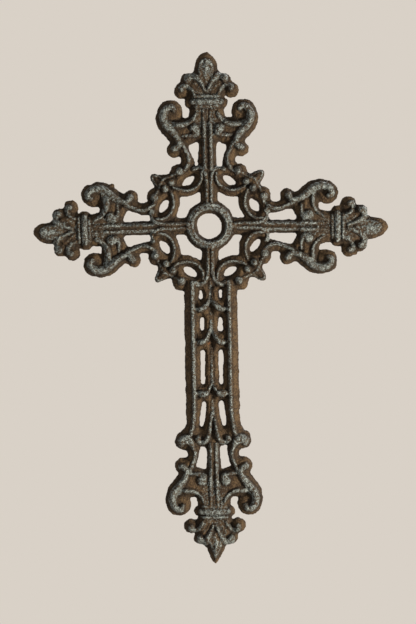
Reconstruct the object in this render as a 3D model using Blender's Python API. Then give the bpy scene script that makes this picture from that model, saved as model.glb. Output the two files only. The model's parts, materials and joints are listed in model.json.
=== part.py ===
"""Openwork wall cross, cast in iron in one piece.

The cross hangs flat against a wall. Its front is a relief: a pierced plate with sloping flanks, and on it the
rounded ridges, beads and scrolls of the ornament. Its back is flat, with one pocket that hooks over a nail.

The pattern is drawn in the plane of the wall as strokes. A stroke is a smooth line with a half width all along it.
Broad strokes make up the plate, some strokes pierce it, and narrow ones are the ridges that stand on it.
The relief is a skin of facets over the contour lines of that drawing, closed by an upright rim and the flat back.

Sizes are in millimetres. X runs to the right and Z up as one faces the cross, and the front faces -Y.
"""

import math

import bmesh
import bpy
import numpy as np
from mathutils import Vector
from mathutils.geometry import delaunay_2d_cdt

MILLIMETRE = 0.001

# Reach of the cross
KNUCKLE_REACH = 33.5  # hub centre to the knuckles, where an arm's terminal begins
TERMINAL_LENGTH = 73.6  # knuckles to tip
SHAFT_LENGTH = 98.2  # hub knuckles to the knuckles above the foot
HANG_HEIGHT = 66.0  # hub centre to the spot behind the top arm's neck that is the part's origin

# The arms of this casting aren't quite square or alike: degrees anticlockwise, and shares of length and width
RIGHT_LEAN, RIGHT_STRETCH, RIGHT_SPREAD = -1.1, 1.02, 0.95
TOP_LEAN, TOP_STRETCH, TOP_SPREAD = 0.5, 0.975, 1.02
LEFT_LEAN, LEFT_STRETCH, LEFT_SPREAD = 1.1, 1.0, 0.95
FOOT_LEAN, FOOT_STRETCH, FOOT_SPREAD = 0.1, 1.0, 0.97

# More that differs from arm to arm, from the right arm on anticlockwise
LEAF_TURNS = (45.0, 48.0, 45.0, 45.0)  # degrees from each arm to the leaf after it
RIB_BORDERS = (4.6, 5.6, 4.6, 4.6)  # half width of the plate under the twin ribs
WINDOW_SHIFTS = (0.0, 0.0, 0.0, -3.4)  # how much farther out the windows end
COLLAR_SHIFTS = (0.8, 0.3, -0.3, -1.1)  # how much farther out the collar stands
LOBE_SHIFTS = ((0.9, 0.2), (0.0, 0.0), (1.3, 0.3), (0.8, -1.2))  # how much farther out and apart the second lobes are
TIP_LEANS = (-1.0, 0.0, 1.3, 0.9)  # how far the root of the tip strays sideways

# Depth of the casting
LIP = 1.4  # upright edge at the back
PLATE = 6.0  # plate between the ridges
FLANK = 4.2  # width of the sloping flank round every edge
CORNER = 0.7  # softening of the corners

# Hub
RING_BORE = 7.3
RING_RADIUS = 11.3
RING_RIM = 15.6
SPOKE_HALF_WIDTH = 5.4

# Shaft
RAIL_OFFSET = 11.0
SLOT_OFFSET = 5.5
SLOT_HALF_WIDTH = 1.25

# Half widths of the plate round a ridge
BORDER = 4.8
LOOP_BORDER = 3.4

# Half widths of the ridges, and how far they rise above the plate
FINE = 0.85
MEDIUM = 1.15
RING_HALF_WIDTH = 2.5
FINE_RISE = 1.6
RIDGE_RISE = 2.3
BOLD_RISE = 3.2

# Nail pocket in the back of the top arm's collar
POCKET_REACH = 76.0  # hub centre to the pocket's middle
POCKET_WIDTH = 9.0
POCKET_HEIGHT = 8.0
POCKET_DEPTH = 4.6

RIDGE_MARGIN = 1.0  # least width of plate between a ridge's foot and the outline

# Fineness of the facets
GRID_STEP = 0.5
PATH_STEP = 1.6
EDGE_TOLERANCE = 0.26
RIDGE_TOLERANCE = 0.34

# Lengths that the ornament is drawn at, which the sizes above stretch
DRAWN_TERMINAL = 73.6
DRAWN_SHAFT = 98.2
DRAWN_REACH = 33.5

# Plate of the leaf at an arm's tip, and of the foot's pointed one: distances along the arm with their half widths
ROUND_TIP = ((92.0, 7.4), (96.5, 7.2), (100.0, 6.3), (102.0, 5.1), (103.6, 3.8))
POINTED_TIP = ((92.0, 7.2), (95.4, 6.1), (98.5, 4.7), (102.3, 3.0), (105.8, 1.6))


class Arm:
    """Places points given along and across one half of an arm. Side is 1 or -1 for the two halves."""

    def __init__(self, degrees, side=1, start=KNUCKLE_REACH, along=1.0, across=1.0):
        turn = math.radians(degrees)
        self.outward = np.array([math.cos(turn), math.sin(turn)])
        self.sideways = side * np.array([-math.sin(turn), math.cos(turn)])
        self.start = start
        self.along = along
        self.across = across

    def place(self, points):
        points = np.asarray(points, float).reshape(-1, 2)
        outward = self.start + self.along * (points[:, :1] - DRAWN_REACH)
        return outward * self.outward + self.across * points[:, 1:] * self.sideways


class Pattern:
    """The drawing: strokes that make the plate, strokes that pierce it, and ridges that stand on it.

    Each stroke is a pair of its path and the half width at each point of it. A ridge has its rise as well.
    """

    def __init__(self):
        self.plate = []
        self.holes = []
        self.ridges = []

    def add_plate(self, arm, points, widths):
        self.plate.append(smooth(arm.place(points), arm.across * np.asarray(widths)))

    def add_hole(self, arm, points, widths):
        self.holes.append(smooth(arm.place(points), arm.across * np.asarray(widths)))

    def add_ridge(self, arm, points, widths, rise=RIDGE_RISE):
        self.ridges.append((*smooth(arm.place(points), widths), rise))


def smooth(points, widths):
    """A curve through the points, about one path step apart, with the half widths eased along it."""
    rows = np.column_stack([points, np.broadcast_to(widths, len(points))])
    if len(rows) == 1:
        return rows[:, :2], rows[:, 2]
    before = np.vstack([2 * rows[0] - rows[1], rows[:-1]])
    after = np.vstack([rows[1:], 2 * rows[-1] - rows[-2]])
    slopes = (after - before) / 2
    made = []
    for start, end, leave, arrive in zip(rows[:-1], rows[1:], slopes[:-1], slopes[1:]):
        steps = max(2, round(math.dist(start[:2], end[:2]) / PATH_STEP))
        for t in np.arange(steps) / steps:
            rise = t * t * (3 - 2 * t)
            made.append((1 - rise) * start + rise * end + t * (1 - t) * ((1 - t) * leave - t * arrive))
    made.append(rows[-1])
    made = np.array(made)
    return made[:, :2], np.maximum(made[:, 2], FINE / 3)


def draw_hub(pattern, arm, foot):
    """One eighth of the hub: half a spoke, an almond loop, and the beads and leaf towards the corner."""
    pattern.add_plate(arm, [(8, 0), (32, 0)], SPOKE_HALF_WIDTH)
    almond = [(32, 3.5), (28.5, 4), (25, 6), (22.5, 9), (21, 13), (21, 18), (22.5, 21.5)]
    pattern.add_plate(arm, almond, LOOP_BORDER)
    pattern.add_plate(arm, [(30, 4), (29.6, 10), (28.5, 16)], 6.4)
    pattern.add_plate(arm, [(32.5, 18.5)], [5.2])
    if foot:
        pattern.add_plate(arm, [(34.2, 17.9)], [5.3])
    pattern.add_plate(arm, [(27, 22.5), (28, 28)], [4.7, 3.6])
    pattern.add_hole(arm, [(29.6, 9.3), (27.5, 12.3), (25.5, 15.4)], [1.0, 2.3, 1.0])

    spoke = [(13, 1.9), (20, 1.8), (28, 1.4), (31, 1.7), (33.5, 2.9), (35.4, 5), (35.9, 7.5), (34.8, 9.2)]
    pattern.add_ridge(arm, spoke, [1.1, 1.1, 1.1, 1.1, 1.2, 1.3, 1.4, 1.4])
    pattern.add_ridge(arm, almond[1:], FINE, FINE_RISE)
    pattern.add_ridge(arm, [(27, 22.5)], [2.3], BOLD_RISE)
    pattern.add_ridge(arm, [(31.6, 20.5), (30.4, 23.5), (28.2, 27), (27.2, 28.2)], FINE, FINE_RISE)


def draw_leaf(pattern, arm):
    """Half of the small leaf that points out of a corner of the hub."""
    pattern.add_plate(arm, [(39.6, 0), (44.7, 0)], [4.2, 2.6])
    pattern.add_ridge(arm, [(39.4, 2.8), (43, 2.3), (45.2, 1.2), (45.9, 0)], FINE, FINE_RISE)


def draw_knuckle(pattern, arm):
    """The curl at the root of a terminal next to the hub."""
    pattern.add_ridge(arm, [(33.0, 17.7)], [2.5], BOLD_RISE)


def draw_neck(pattern, arm, quarter, foot):
    """Half of an arm's root, neck and collar, with the twin ribs up its middle."""
    shoulder = 59.6 + WINDOW_SHIFTS[quarter]
    slant = 2.4 if foot else 3.6
    pattern.add_plate(arm, [(33, 0), (62, 0)], RIB_BORDERS[quarter])
    pattern.add_plate(arm, [(62, 0), (67, 0), (72, 0)], [12.0, 11.0, 10.2])
    pattern.add_plate(arm, [(59.6, 0), (59.6, 16)], 7.0)
    pattern.add_plate(arm, [(shoulder, 0), (shoulder, 16)], 7.0)
    pattern.add_plate(arm, [(shoulder - 2.4, 5), (shoulder - 2.4 - slant, 12)], 4.2)
    pattern.add_ridge(arm, [(34, 2), (60, 2), (71, 2)], [MEDIUM, MEDIUM, FINE])

    collar = 76.0 + COLLAR_SHIFTS[quarter]
    pattern.add_plate(arm, [(collar - 0.5, 0), (collar - 0.5, 9.3)], 3.8)
    pattern.add_ridge(arm, [(collar, 0), (collar, 8.3)], 1.8, BOLD_RISE)
    pattern.add_ridge(arm, [(collar + 3.6, 0), (collar + 3.4, 8)], FINE)


def draw_scroll(pattern, arm, quarter, foot):
    """The S-shaped scroll beside the neck, with the strut that carries it."""
    strut = [(50.5, 15), (47, 13.5), (43, 11.7), (39, 11.3), (35.5, 13), (33, 15.5), (32.5, 18)]
    pattern.add_plate(arm, [(51, 15.5), (46.5, 14.8), (43, 13.4), (39.5, 12.7), (36, 13)], [4, 3.9, 3.6, 3.8, 4.5])
    pattern.add_ridge(arm, strut, MEDIUM)

    scroll = [(46.8, 20), (50, 17.6), (54, 18.2), (58, 21.4), (62.5, 25), (67, 26)]
    pattern.add_plate(arm, scroll, BORDER)
    pattern.add_plate(arm, [(70, 22)], [7.8])
    if foot:
        pattern.add_plate(arm, [(46.5, 19.4), (46.3, 16.0)], 5.0)
    back = [(50, 16.5), (54, 18), (58, 21), (62.5, 25)]
    hook = [(67, 26.5), (70.5, 26), (73.5, 23.5), (73.8, 20.5), (71.5, 19.5)]
    pattern.add_ridge(arm, back + hook, [1.4, 1.2, 1.2, 1.4, 1.9, 1.9, 1.7, 1.4, 1.1], BOLD_RISE)
    pattern.add_ridge(arm, [(50, 16.5), (48.4, 18), (47.4, 20)], [1.4, 1.8, 1.9], BOLD_RISE)
    pattern.add_ridge(arm, [(68.5, 6.5), (65, 9), (62.3, 14), (62.5, 20), (63.3, 24)], FINE, FINE_RISE)
    out = 56.0 + WINDOW_SHIFTS[quarter]
    curl = [(out + 3.4, 7.5), (out + 0.5, 6.3), (out - 0.6, 9.4), (out - 0.9, 14.6)]
    pattern.add_ridge(arm, curl, [2.6, 1.4, 1.1, FINE])


def draw_palmette(pattern, arm, quarter, side, foot):
    """Half of the five-lobed leaf at an arm's tip."""
    tip = POINTED_TIP if foot else ROUND_TIP
    lean = side * TIP_LEANS[quarter]
    middle = [(reach, lean * share) for (reach, half), share in zip(tip, (1.0, 0.8, 0.5, 0.3, 0.1))]
    out, wide = LOBE_SHIFTS[quarter]
    wide += 0.6 * lean
    pattern.add_plate(arm, [(78, 0), (84, 0), (89, 0)], [9, 12, 10])
    pattern.add_plate(arm, middle, [half for reach, half in tip])
    pattern.add_plate(arm, [(89.6 + out, 10.4 + wide)], [4.8])
    pattern.add_plate(arm, [(83.5, 14.7)], [4.9])
    rim = [(91, 3.4)] + [(reach, half - 2.8 + 0.6 * lean) for reach, half in tip[:4]] + [(103.3, 0)]
    pattern.add_ridge(arm, rim, MEDIUM)
    pattern.add_ridge(arm, [(90, 0), (100.5, 0.3 * lean)], FINE, FINE_RISE)
    second = [(83, 0.8), (87, 2.5), (90.5 + out / 2, 4.7), (92.6 + out, 7.7 + wide), (91 + out, 11.2 + wide)]
    pattern.add_ridge(arm, second, [1, 1, 1.1, 1.3, 1.7])
    pattern.add_ridge(arm, [(81, 7.5), (84, 9), (86.3, 12), (85.3, 15), (83.6, 14.6)], [1, 1, 1.1, 1.5, 1.6])


def draw_shaft(pattern, arm):
    """Half of the long lower arm: two rails, pierced slots, and a stem that forks again and again."""
    rail = RAIL_OFFSET
    slot = SLOT_OFFSET
    pattern.add_plate(arm, [(34, rail + 0.6), (117, rail + 0.8), (123, 12.7), (127.4, 15.6)], BORDER)
    pattern.add_plate(arm, [(40, 5), (118, 5)], 5.5)
    pattern.add_plate(arm, [(116, 4), (129, 4)], 5.2)
    pattern.add_plate(arm, [(128, 9), (130, 14)], 5.0)
    pattern.add_plate(arm, [(129.9, 17.9), (130.8, 13.5)], 5.7)

    pattern.add_hole(arm, [(39.6, slot + 0.5), (43.0, slot + 0.5)], SLOT_HALF_WIDTH * 0.75)
    pattern.add_hole(arm, [(56.2, slot), (62.6, slot)], SLOT_HALF_WIDTH)
    pattern.add_hole(arm, [(76.4, slot), (95.0, slot)], SLOT_HALF_WIDTH)
    pattern.add_hole(arm, [(107.4, slot - 0.4), (121.0, slot + 1.5)], SLOT_HALF_WIDTH)

    pattern.add_ridge(arm, [(35, rail), (70, rail), (108, rail), (118, 13), (125, 15)], MEDIUM)
    shoulder = [(133, 13), (130, 14.5), (129, 17), (131, 19.2), (132.6, 19.2)]
    pattern.add_ridge(arm, shoulder, [1.2, 1.6, 1.9, 1.9, 1.6], BOLD_RISE)
    for root, crotch, fork in ((34, 46, 50.4), (52, 64.5, 70.5)):
        pattern.add_ridge(arm, [(root, 0), (crotch, 0)], [1.5, 1.2])
        pattern.add_ridge(arm, [(crotch, 0.8), (fork - 2, 2.9), (fork, 6), (fork, rail - 1.2)], 1.0)
    pattern.add_ridge(arm, [(74, 0), (97, 0)], [1.5, 1.2])
    pattern.add_ridge(arm, [(97, 0.8), (100, 2.8), (101.7, 5), (101.7, rail - 1.2)], [1.0, 1.1, 1.9, 0.9])
    pattern.add_ridge(arm, [(105, 0), (115, 0)], [1.4, 1.2])
    curl = [(115, 0.8), (121, 1.6), (127, 2.5), (130.5, 4.2), (131.6, 7), (130, 9.3), (128.6, 8.9)]
    pattern.add_ridge(arm, curl, [1.0, 1.0, 1.1, 1.2, 1.3, 1.4, 1.2])


def draw_cross():
    """The whole drawing: hub, four terminals, and the shaft that carries the lowest of them."""
    pattern = Pattern()
    centre = Arm(0, start=DRAWN_REACH)
    pattern.add_plate(centre, ring(RING_RADIUS), RING_RIM - RING_RADIUS)
    pattern.add_hole(centre, [(0, 0)], [RING_BORE])
    pattern.add_ridge(centre, ring(RING_RADIUS), RING_HALF_WIDTH, RIDGE_RISE)
    grow = TERMINAL_LENGTH / DRAWN_TERMINAL
    stretch = SHAFT_LENGTH / DRAWN_SHAFT
    reach = KNUCKLE_REACH / DRAWN_REACH
    arms = (
        (RIGHT_LEAN, RIGHT_STRETCH, RIGHT_SPREAD),
        (TOP_LEAN, TOP_STRETCH, TOP_SPREAD),
        (LEFT_LEAN, LEFT_STRETCH, LEFT_SPREAD),
        (FOOT_LEAN, FOOT_STRETCH, FOOT_SPREAD),
    )
    for quarter, ((lean, length_share, width_share), leaf_turn) in enumerate(zip(arms, LEAF_TURNS)):
        foot = quarter == 3
        square = 90 * quarter
        for side in (1, -1):
            hub_arm = Arm(square, side, along=reach, across=reach)
            draw_hub(pattern, hub_arm, foot)
            draw_leaf(pattern, Arm(square + leaf_turn, side, along=reach, across=reach))
            draw_knuckle(pattern, hub_arm)
            if foot:
                draw_shaft(pattern, Arm(square + lean, side, along=stretch))
            start = KNUCKLE_REACH + (SHAFT_LENGTH if foot else 0)
            arm = Arm(square + lean, side, start, grow * length_share, grow * width_share)
            draw_scroll(pattern, arm, quarter, foot)
            draw_palmette(pattern, arm, quarter, side, foot)
            draw_neck(pattern, arm, quarter, foot)
    return pattern


def ring(radius):
    """Points round a circle, the first one repeated at the end."""
    turns = np.linspace(0, 2 * math.pi, 25)
    return np.column_stack([radius * np.cos(turns), radius * np.sin(turns)])


class Field:
    """How far each point of a grid over the drawing lies from the edge of some strokes, negative inside them."""

    MARGIN = 12.0
    FAR = 9.0

    def __init__(self, low, high):
        self.low = low - self.MARGIN
        self.columns, self.rows = np.ceil((high - low + 2 * self.MARGIN) / GRID_STEP).astype(int) + 1
        self.values = np.full((self.rows, self.columns), self.FAR)

    def draw(self, strokes):
        for path, widths in strokes:
            for piece in pieces(path, widths):
                self.draw_piece(*piece)

    def draw_piece(self, start, end, width, end_width):
        pad = max(width, end_width) + self.FAR
        first = np.floor((np.minimum(start, end) - pad - self.low) / GRID_STEP).astype(int).clip(0)
        last = np.ceil((np.maximum(start, end) + pad - self.low) / GRID_STEP).astype(int) + 1
        window = (slice(first[1], last[1]), slice(first[0], last[0]))
        block = self.values[window]
        x = self.low[0] + GRID_STEP * (first[0] + np.arange(block.shape[1]))
        y = self.low[1] + GRID_STEP * (first[1] + np.arange(block.shape[0]))
        away = distance(x[None, :], y[:, None], start, end, width, end_width)[0]
        np.minimum(block, away, out=block)

    def soften(self, radius):
        """Blur the field, which rounds the corners of its edges."""
        reach = math.ceil(3 * radius / GRID_STEP)
        weights = np.exp(-0.5 * (np.arange(-reach, reach + 1) * GRID_STEP / radius) ** 2)
        weights /= weights.sum()
        for axis in (0, 1):
            self.values = np.apply_along_axis(np.convolve, axis, self.values, weights, "same")

    def at(self, points):
        """The field between the grid's points."""
        place = (points - self.low) / GRID_STEP
        cell = np.floor(place).astype(int)
        x, y = (place - cell).T
        column, row = cell.T
        below = (1 - x) * self.values[row, column] + x * self.values[row, column + 1]
        above = (1 - x) * self.values[row + 1, column] + x * self.values[row + 1, column + 1]
        return (1 - y) * below + y * above

    def contours(self, level):
        """Closed lines along which the field has one value, with what is lower on their left."""
        values = self.values - level
        values[np.abs(values) < 1e-3] = 1e-3
        inside = values < 0
        step = {}
        code = inside[:-1, :-1] + 2 * inside[:-1, 1:] + 4 * inside[1:, 1:] + 8 * inside[1:, :-1]
        for row, column in zip(*np.nonzero((code > 0) & (code < 15))):
            corners = ((row, column), (row, column + 1), (row + 1, column + 1), (row + 1, column))
            edges = [(corners[i], corners[(i + 1) % 4]) for i in range(4)]
            leaving = [i for i in range(4) if inside[edges[i][0]] and not inside[edges[i][1]]]
            entering = [i for i in range(4) if not inside[edges[i][0]] and inside[edges[i][1]]]
            joined = sum(values[corner] for corner in corners) < 0
            if len(leaving) == 2 and joined == inside[corners[1]]:
                entering.reverse()
            for start, end in zip(leaving, entering):
                step[tuple(sorted(edges[start]))] = tuple(sorted(edges[end]))
        return self.follow(step, values)

    def follow(self, step, values):
        loops = []
        while step:
            edge = next(iter(step))
            loop = []
            while edge in step:
                low, high = edge
                share = values[low] / (values[low] - values[high])
                spot = np.array([low[1], low[0]]) + share * np.array([high[1] - low[1], high[0] - low[0]])
                loop.append(self.low + GRID_STEP * spot)
                edge = step.pop(edge)
            loops.append(np.array(loop))
        return loops


def pieces(path, widths):
    """The straight pieces of a stroke: each one's ends and its half widths there. A dot is a piece of no length."""
    after = slice(1, None) if len(path) > 1 else slice(None)
    return zip(path, path[after], widths, widths[after])


def distance(x, y, start, end, width, end_width):
    """How far places lie outside a piece of a stroke, and their distance from its line as a share of its width."""
    along = end - start
    length = along @ along
    share = ((x - start[0]) * along[0] + (y - start[1]) * along[1]) / max(length, GRID_STEP**4)
    share = np.clip(share, 0, 1)
    away = np.hypot(x - start[0] - share * along[0], y - start[1] - share * along[1])
    half = width + share * (end_width - width)
    return away - half, away / half


def simplify(path, tolerance):
    """The fewest points of an open path that stay within the tolerance of it."""
    if len(path) < 3:
        return path
    start, end = path[0], path[-1]
    away = distance(path[:, 0], path[:, 1], start, end, tolerance, tolerance)[1]
    farthest = int(np.argmax(away))
    if away[farthest] < 1:
        return np.array([start, end])
    left = simplify(path[: farthest + 1], tolerance)
    return np.vstack([left[:-1], simplify(path[farthest:], tolerance)])


def simplify_loop(loop, tolerance):
    """The same for a closed one, given without its first point again."""
    closed = np.vstack([loop, loop[:1]])
    middle = int(np.argmax(np.hypot(*(loop - loop[0]).T)))
    first = simplify(closed[: middle + 1], tolerance)
    return np.vstack([first[:-1], simplify(closed[middle:], tolerance)[:-1]])


class Relief:
    """The front of the casting over the drawing: how high each spot stands, and the lines that its facets follow."""

    def __init__(self, pattern):
        paths = np.vstack([path for path, widths in pattern.plate])
        low, high = paths.min(axis=0), paths.max(axis=0)
        self.ridges = pattern.ridges
        self.plate = Field(low, high)
        self.plate.draw(pattern.plate)
        holes = Field(low, high)
        holes.draw(pattern.holes)
        self.plate.values = np.maximum(self.plate.values, -holes.values)
        self.plate.soften(CORNER)
        self.feet = Field(low, high)
        self.feet.draw([(path, widths) for path, widths, rise in self.ridges])
        self.feet.values = np.maximum(self.feet.values, self.plate.values + RIDGE_MARGIN)

    def heights(self, points):
        """The plate slopes up from the lip over its flank, and each ridge is a rounded hump on it."""
        inside = np.clip(-self.plate.at(points) / FLANK, 0, 1)
        hump = np.zeros(len(points))
        for path, widths, rise in self.ridges:
            for piece in pieces(path, widths):
                share = distance(points[:, 0], points[:, 1], *piece)[1]
                np.maximum(hump, rise * (1 - share**2), out=hump)
        return LIP + (PLATE - LIP) * inside + hump

    def outline(self):
        return [simplify_loop(loop, EDGE_TOLERANCE) for loop in self.plate.contours(0)]

    def feature_lines(self):
        """The plateau's edge, the feet of the ridges, and their crests, as paths with a flag for closed ones."""
        lines = [(simplify_loop(loop, RIDGE_TOLERANCE), True) for loop in self.plate.contours(-FLANK)]
        lines += [(simplify_loop(loop, RIDGE_TOLERANCE), True) for loop in self.feet.contours(0)]
        for path, widths, rise in self.ridges:
            crest = simplify(path, RIDGE_TOLERANCE)
            if len(crest) > 1:
                lines.append((crest[self.feet.at(crest) < 0], False))
            else:
                lines.append((path[0] + ring(widths[0] / 2)[:-1:3], True))
                lines.append((path, False))
        return lines


def triangulate(loops, lines):
    """Triangles that fill the loops and follow the lines: points, triples of them, and each loop point's number."""
    points = []
    edges = []
    for path, closed in [(loop, True) for loop in loops] + lines:
        first = len(points)
        points += [Vector(point) for point in path]
        edges += [(number, number + 1) for number in range(first, len(points) - 1)]
        if closed:
            edges.append((len(points) - 1, first))
    made = delaunay_2d_cdt(points, edges, [], 0, 1e-5)
    spots = np.array(made[0])
    faces = np.array([face for face in made[2] if len(face) == 3])
    kept = faces[within(spots[faces].mean(axis=1), loops)]
    on_loop = sum(len(loop) for loop in loops)
    places = {source: number for number, sources in enumerate(made[3]) for source in sources if source < on_loop}
    return spots, kept, [places[number] for number in range(on_loop)]


def within(points, loops):
    """Whether each point lies inside the loops, counting how many of their edges are crossed on the way out."""
    crossings = np.zeros(len(points), int)
    x, y = points.T
    for loop in loops:
        for (x0, y0), (x1, y1) in zip(loop, np.roll(loop, -1, axis=0)):
            if y0 != y1:
                between = (y0 <= y) != (y1 <= y)
                crossings += between & (x < x0 + (y - y0) * (x1 - x0) / (y1 - y0))
    return crossings % 2 == 1


def build_casting(pattern, origin):
    """The cross as one closed mesh: the relief, the upright rim, and the flat back."""
    relief = Relief(pattern)
    loops = relief.outline()
    front, front_faces, rim = triangulate(loops, relief.feature_lines())
    back, back_faces, back_rim = triangulate(loops, [])
    heights = relief.heights(front)
    heights[rim] = LIP
    vertices = [(x, -height, z) for (x, z), height in zip(front - origin, heights)]
    vertices += [(x, 0.0, z) for x, z in back - origin]
    back_start = len(front)
    faces = [tuple(face) for face in front_faces]
    faces += [tuple(back_start + face[::-1]) for face in back_faces]
    first = 0
    for loop in loops:
        numbers = list(range(first, first + len(loop)))
        for here, there in zip(numbers, numbers[1:] + numbers[:1]):
            faces.append((rim[here], back_start + back_rim[here], back_start + back_rim[there], rim[there]))
        first += len(loop)
    mesh = bpy.data.meshes.new("cross_casting")
    mesh.from_pydata([Vector(vertex) * MILLIMETRE for vertex in vertices], [], [tuple(map(int, f)) for f in faces])
    tidy = bmesh.new()
    tidy.from_mesh(mesh)
    bmesh.ops.delete(tidy, geom=[v for v in tidy.verts if not v.link_faces], context="VERTS")
    bmesh.ops.triangulate(tidy, faces=[face for face in tidy.faces if len(face.verts) > 3])
    tidy.to_mesh(mesh)
    tidy.free()
    mesh.shade_smooth()
    mesh.set_sharp_from_angle(angle=math.radians(35))
    return bpy.data.objects.new("cross_casting", mesh)


def cast_iron():
    """Brown patina with the bluish grey of worn iron."""
    material = bpy.data.materials.new("cast iron")
    material.use_nodes = True
    shader = material.node_tree.nodes["Principled BSDF"]
    shader.inputs["Base Color"].default_value = (0.062, 0.052, 0.042, 1.0)
    shader.inputs["Roughness"].default_value = 0.55
    shader.inputs["Metallic"].default_value = 0.6
    return material


def cut_pocket(casting, origin):
    """Sink the nail pocket into the back of the collar."""
    turn = math.radians(90 + TOP_LEAN)
    middle = POCKET_REACH * np.array([math.cos(turn), math.sin(turn)]) - origin
    mesh = bpy.data.meshes.new("pocket_cutter")
    shape = bmesh.new()
    bmesh.ops.create_cube(shape, size=2.0)
    size = Vector((POCKET_WIDTH / 2, POCKET_DEPTH, POCKET_HEIGHT / 2)) * MILLIMETRE
    bmesh.ops.scale(shape, vec=size, verts=shape.verts)
    shape.to_mesh(mesh)
    shape.free()
    cutter = bpy.data.objects.new("pocket_cutter", mesh)
    cutter.location = Vector((middle[0], 0.0, middle[1])) * MILLIMETRE
    cutter.rotation_euler.y = -math.radians(TOP_LEAN)
    cutter.hide_render = True
    cutter.display_type = "WIRE"
    bpy.context.collection.objects.link(cutter)
    cut = casting.modifiers.new("Nail pocket", "BOOLEAN")
    cut.operation = "DIFFERENCE"
    cut.solver = "EXACT"
    cut.object = cutter


def main():
    for old in list(bpy.data.objects):
        bpy.data.objects.remove(old, do_unlink=True)
    turn = math.radians(90 + TOP_LEAN)
    origin = HANG_HEIGHT * np.array([math.cos(turn), math.sin(turn)])
    casting = build_casting(draw_cross(), origin)
    casting.data.materials.append(cast_iron())
    bpy.context.collection.objects.link(casting)
    cut_pocket(casting, origin)


main()
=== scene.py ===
"""Dressed model of an openwork wall cross, sand-cast in iron in one piece.

The cross is one casting, so there is one piece. It stands for the plain solid of the frame and keeps its
outline. The ornament is drawn in the plane of the wall as strokes, each a smooth line with a half width all
along it. Broad strokes make up the plate, some strokes pierce it, and narrow ones are the rounded ridges that
stand on it. A fine sheet is pressed over that drawing, trimmed along its edge, given a rim and a flat back
with a nail pocket, and roughened with the grain of the moulding sand.

Lengths in this file are in millimetres until a mesh is made, and the frame's own metres from there on.
"""

import json
import logging
import math
from collections.abc import Iterable, Iterator, Sequence
from contextlib import contextmanager
from dataclasses import dataclass, field
from enum import Enum

import bpy
import numpy as np
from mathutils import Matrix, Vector

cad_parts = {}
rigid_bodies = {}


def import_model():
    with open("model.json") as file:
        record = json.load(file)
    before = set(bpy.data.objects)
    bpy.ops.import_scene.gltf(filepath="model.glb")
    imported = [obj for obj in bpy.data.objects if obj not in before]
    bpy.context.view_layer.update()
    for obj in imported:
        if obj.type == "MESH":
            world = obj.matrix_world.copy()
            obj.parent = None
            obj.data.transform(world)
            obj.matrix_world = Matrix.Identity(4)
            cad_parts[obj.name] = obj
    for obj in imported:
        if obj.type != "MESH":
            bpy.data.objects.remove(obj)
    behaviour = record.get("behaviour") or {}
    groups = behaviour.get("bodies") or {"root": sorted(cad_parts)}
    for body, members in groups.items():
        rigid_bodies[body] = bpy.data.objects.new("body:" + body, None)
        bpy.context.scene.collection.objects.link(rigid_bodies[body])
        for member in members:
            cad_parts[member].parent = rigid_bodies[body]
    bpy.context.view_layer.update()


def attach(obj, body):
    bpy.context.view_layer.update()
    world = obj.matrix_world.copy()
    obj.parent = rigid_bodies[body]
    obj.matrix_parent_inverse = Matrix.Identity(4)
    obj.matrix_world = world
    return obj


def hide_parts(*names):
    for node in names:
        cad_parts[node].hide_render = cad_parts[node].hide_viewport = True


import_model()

MILLIMETRE = 0.001
CASTING_NODE = "cross_casting"

# Photograph
PHOTO_WIDTH = 416
PHOTO_HEIGHT = 624
HUB_COLUMN = 209.5  # pixel column and row of the hub's centre
HUB_ROW = 226.0
PIXEL_SIZE = 0.607  # width of a pixel at the cross, in millimetres
PHOTO_ROLL = 0.9  # degrees that the cross hangs anticlockwise of upright

STROKE_STEP = 0.8  # distance between the points of a stroke, in millimetres
THINNEST = 0.25  # least half width of a stroke, in millimetres

log = logging.getLogger("wall cross")

Point = tuple[float, float]


class Depth(Enum):
    """How far a ridge rises above the plate, in millimetres."""

    HAIR = 0.5
    FINE = 1.2
    ROUND = 1.7
    BOLD = 2.5


class Edge(Enum):
    """Half width of the plate round a ridge, in millimetres."""

    LOOP = 3.4
    SCROLL = 4.8
    SPOKE = 5.4


class Line(Enum):
    """Half width of a ridge, in millimetres."""

    HAIR = 0.6
    FINE = 0.9
    MEDIUM = 1.15
    BROAD = 1.3


class Tip(Enum):
    """Shape of the leaf at an arm's tip: the half width of its plate at five distances along the arm."""

    ROUND = ((92.0, 7.4), (96.5, 7.2), (100.0, 6.3), (102.0, 5.1), (103.6, 3.8))
    POINTED = ((92.0, 7.2), (95.4, 6.1), (98.5, 4.7), (102.3, 3.0), (105.4, 1.6))


@dataclass(frozen=True)
class ArmFit:
    """How one arm of this casting differs from its fellows.

    Attributes:
        square: Its direction on a square cross, in degrees anticlockwise from the viewer's right.
        lean: Degrees that it strays from that.
        length: Share of length.
        width: Share of width.
        neck: How much farther out its windows end.
        collar: How much farther out its collar stands.
        rib: Half width of the plate under its twin ribs.
        strut: Stretch of the width of the struts inside its volutes.
        spoke_root: Half the distance between the ridges of its spoke, next to the ring.
        leaf_turn: Degrees from the arm to the leaf after it.
        lobes: How much farther out and wider apart the second lobes of its leaf are.
        tip: Shape of its tip.
        tip_lean: How far the root of its tip strays sideways.
        on_shaft: Whether the long shaft carries it.
        burr: Where a burr from the mould's joint stands on its second half, if there is one.
    """

    square: float
    lean: float
    length: float
    width: float
    neck: float = 0.0
    collar: float = 0.0
    rib: float = 4.6
    strut: float = 1.0
    spoke_root: float = 1.5
    leaf_turn: float = 45.0
    lobes: Point = (0.0, 0.0)
    tip: Tip = Tip.ROUND
    tip_lean: float = 0.0
    on_shaft: bool = False
    burr: Point | None = None


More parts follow.
